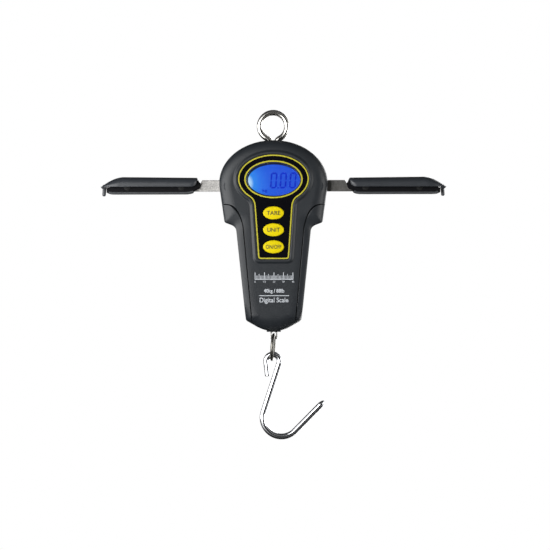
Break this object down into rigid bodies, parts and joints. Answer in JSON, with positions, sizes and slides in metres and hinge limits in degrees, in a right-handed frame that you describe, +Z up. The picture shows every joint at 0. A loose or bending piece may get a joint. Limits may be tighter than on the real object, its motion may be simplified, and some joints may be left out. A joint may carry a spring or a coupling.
{
  "type": "digital fish scale",
  "caption": "Hanging digital scale with a backlit display, push keys, an eye to hang it by, fold-out side handles, and a swinging ring and hook for the load.",
  "frame": {"origin": "highest point inside the hanging eye, in the plane of the eye, the strips and the pull bar", "axes": "+Z up along the load line, +X to the right seen from the front, front face towards -Y"},
  "size_m": [0.2552, 0.0324, 0.2438],
  "materials": {
    "casing": "satin charcoal moulding",
    "fascia": "gloss black with yellow outlines",
    "lens": "clear",
    "display": "blue backlit display with dark blue segments",
    "diffuser": "milky",
    "elastomer": "matt",
    "board": "solder resist",
    "component": "moulded black",
    "key": "satin yellow",
    "chrome": "polished",
    "steel": "brushed",
    "ring_steel": "dull polished",
    "alloy": "milled",
    "brass": "plain",
    "flex": "polyimide film",
    "grip": "satin black moulding",
    "grip_core": "matt black moulding",
    "cell_wrap": "printed sleeve",
    "screw": "blackened"
  },
  "bodies": {
    "housing": {"front_casing": "casing", "rear_casing": "casing", "fascia_overlay": "fascia", "lcd_window": "lens", "lcd_panel": "display", "backlight_guide": "diffuser", "backlight_led": "diffuser", "zebra_connector": "elastomer", "circuit_board": "board", "chip_blob": "component", "quartz_crystal": "alloy", "buzzer": "component", "tare_switch": "component", "unit_switch": "component", "power_switch": "component", "eye_loop": "chrome", "eye_block": "steel", "eye_pin": "steel", "load_cell": "alloy", "load_pin_upper": "steel", "load_pin_lower": "steel", "upper_strain_gauge": "flex", "lower_strain_gauge": "flex", "gauge_ribbon": "flex", "pull_bar": "steel", "left_battery": "cell_wrap", "right_battery": "cell_wrap", "left_battery_spring": "steel", "right_battery_spring": "steel", "contact_plate": "brass", "casing_screw_left_1": "screw", "casing_screw_left_2": "screw", "casing_screw_left_3": "screw", "left_pivot_pin": "steel", "left_pivot_washer": "brass", "casing_screw_right_1": "screw", "casing_screw_right_2": "screw", "casing_screw_right_3": "screw", "right_pivot_pin": "steel", "right_pivot_washer": "brass"},
    "tare_key": {"tare_key": "key"},
    "unit_key": {"unit_key": "key"},
    "power_key": {"power_key": "key"},
    "battery_door": {"battery_cover": "casing"},
    "link": {"link_ring": "ring_steel"},
    "hook": {"load_hook": "chrome"},
    "left_handle": {"left_strip": "steel", "left_grip_core": "grip_core", "left_grip_cover": "grip", "left_rivet_1": "steel", "left_rivet_2": "steel"},
    "right_handle": {"right_strip": "steel", "right_grip_core": "grip_core", "right_grip_cover": "grip", "right_rivet_1": "steel", "right_rivet_2": "steel"}
  },
  "joints": [
    {"name": "left_fold", "type": "hinge", "parent": "housing", "child": "left_handle", "pos_m": [-0.0317, 0, -0.0526], "axis": [0, -1, 0], "range_deg": [0, 96]},
    {"name": "right_fold", "type": "hinge", "parent": "housing", "child": "right_handle", "pos_m": [0.0317, 0, -0.0526], "axis": [0, 1, 0], "range_deg": [0, 96]},
    {"name": "tare_press", "type": "slide", "parent": "housing", "child": "tare_key", "axis": [0, 1, 0], "range_m": [0, 0.0005], "stiffness_N_per_m": 800},
    {"name": "unit_press", "type": "slide", "parent": "housing", "child": "unit_key", "axis": [0, 1, 0], "range_m": [0, 0.0005], "stiffness_N_per_m": 800},
    {"name": "power_press", "type": "slide", "parent": "housing", "child": "power_key", "axis": [0, 1, 0], "range_m": [0, 0.0005], "stiffness_N_per_m": 800},
    {"name": "ring_swing", "type": "hinge", "parent": "housing", "child": "link", "pos_m": [0, 0, -0.16225], "axis": [0, 1, 0], "range_deg": [-55, 55]},
    {"name": "hook_swing", "type": "hinge", "parent": "link", "child": "hook", "pos_m": [-0.0011, 0, -0.17675], "axis": [1, 0, 0], "range_deg": [-60, 60]},
    {"name": "door_swing", "type": "hinge", "parent": "housing", "child": "battery_door", "pos_m": [0, 0.015, -0.14935], "axis": [-1, 0, 0], "range_deg": [0, 80]}
  ]
}
